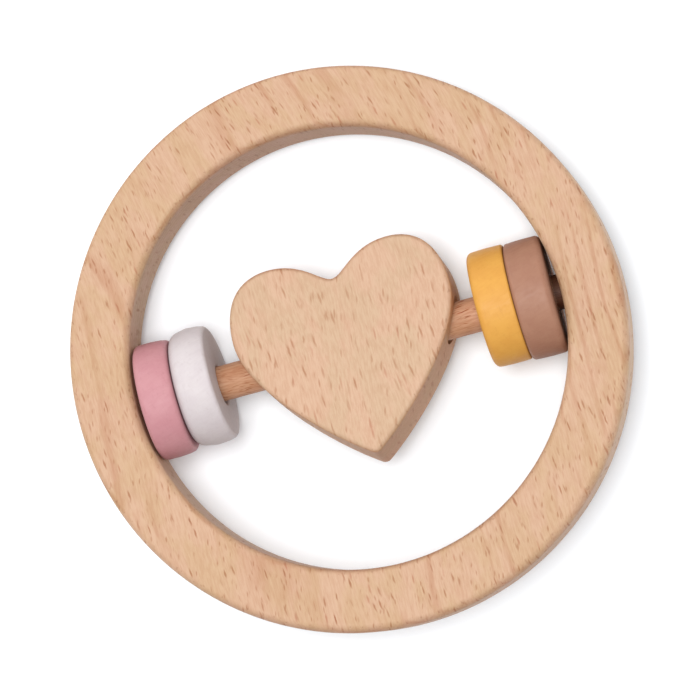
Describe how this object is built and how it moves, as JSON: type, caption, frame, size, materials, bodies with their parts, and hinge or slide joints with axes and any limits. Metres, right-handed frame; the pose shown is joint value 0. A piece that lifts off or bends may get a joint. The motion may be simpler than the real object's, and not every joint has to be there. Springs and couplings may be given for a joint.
{
  "type": "wooden grasping rattle",
  "caption": "Wooden grasping ring with a crossbar that carries a turning heart and sliding, spinning painted discs, for a baby to hold, shake and mouth.",
  "frame": {"origin": "centre of the grasping ring, on the crossbar's axis", "axes": "+X along the crossbar towards the mustard and mocha discs, +Y across the ring towards the heart's notch, +Z out of the ring's face"},
  "size_m": [0.095, 0.095, 0.0204],
  "materials": {
    "beech": "smooth sanded beech with a thin matt oil, fine grain flecks",
    "crossbar_beech": "turned beech dowel, darker and redder, grain along its length",
    "pink_paint": "satin dusty-pink water-based paint on wood",
    "white_paint": "satin lilac-white water-based paint on wood",
    "mustard_paint": "satin mustard water-based paint on wood",
    "mocha_paint": "satin mocha-brown water-based paint on wood"
  },
  "bodies": {
    "frame": {"ring": "beech", "crossbar": "crossbar_beech"},
    "heart": {"heart": "beech"},
    "white_disc": {"white_disc": "white_paint"},
    "pink_disc": {"pink_disc": "pink_paint"},
    "mustard_disc": {"mustard_disc": "mustard_paint"},
    "mocha_disc": {"mocha_disc": "mocha_paint"}
  },
  "joints": [
    {"name": "heart_turn", "type": "hinge", "parent": "frame", "child": "heart", "pos_m": [0, 0, 0], "axis": [1, 0, 0], "continuous": true},
    {"name": "left_pair_slide", "type": "slide", "parent": "frame", "child": "white_disc", "axis": [1, 0, 0], "range_m": [0, 0.0037]},
    {"name": "pink_spin", "type": "hinge", "parent": "white_disc", "child": "pink_disc", "pos_m": [-0.0324, 0, 0], "axis": [1, 0, 0], "continuous": true},
    {"name": "right_pair_slide", "type": "slide", "parent": "frame", "child": "mustard_disc", "axis": [1, 0, 0], "range_m": [-0.0028, 0]},
    {"name": "mocha_spin", "type": "hinge", "parent": "mustard_disc", "child": "mocha_disc", "pos_m": [0.0324, 0, 0], "axis": [1, 0, 0], "continuous": true}
  ]
}
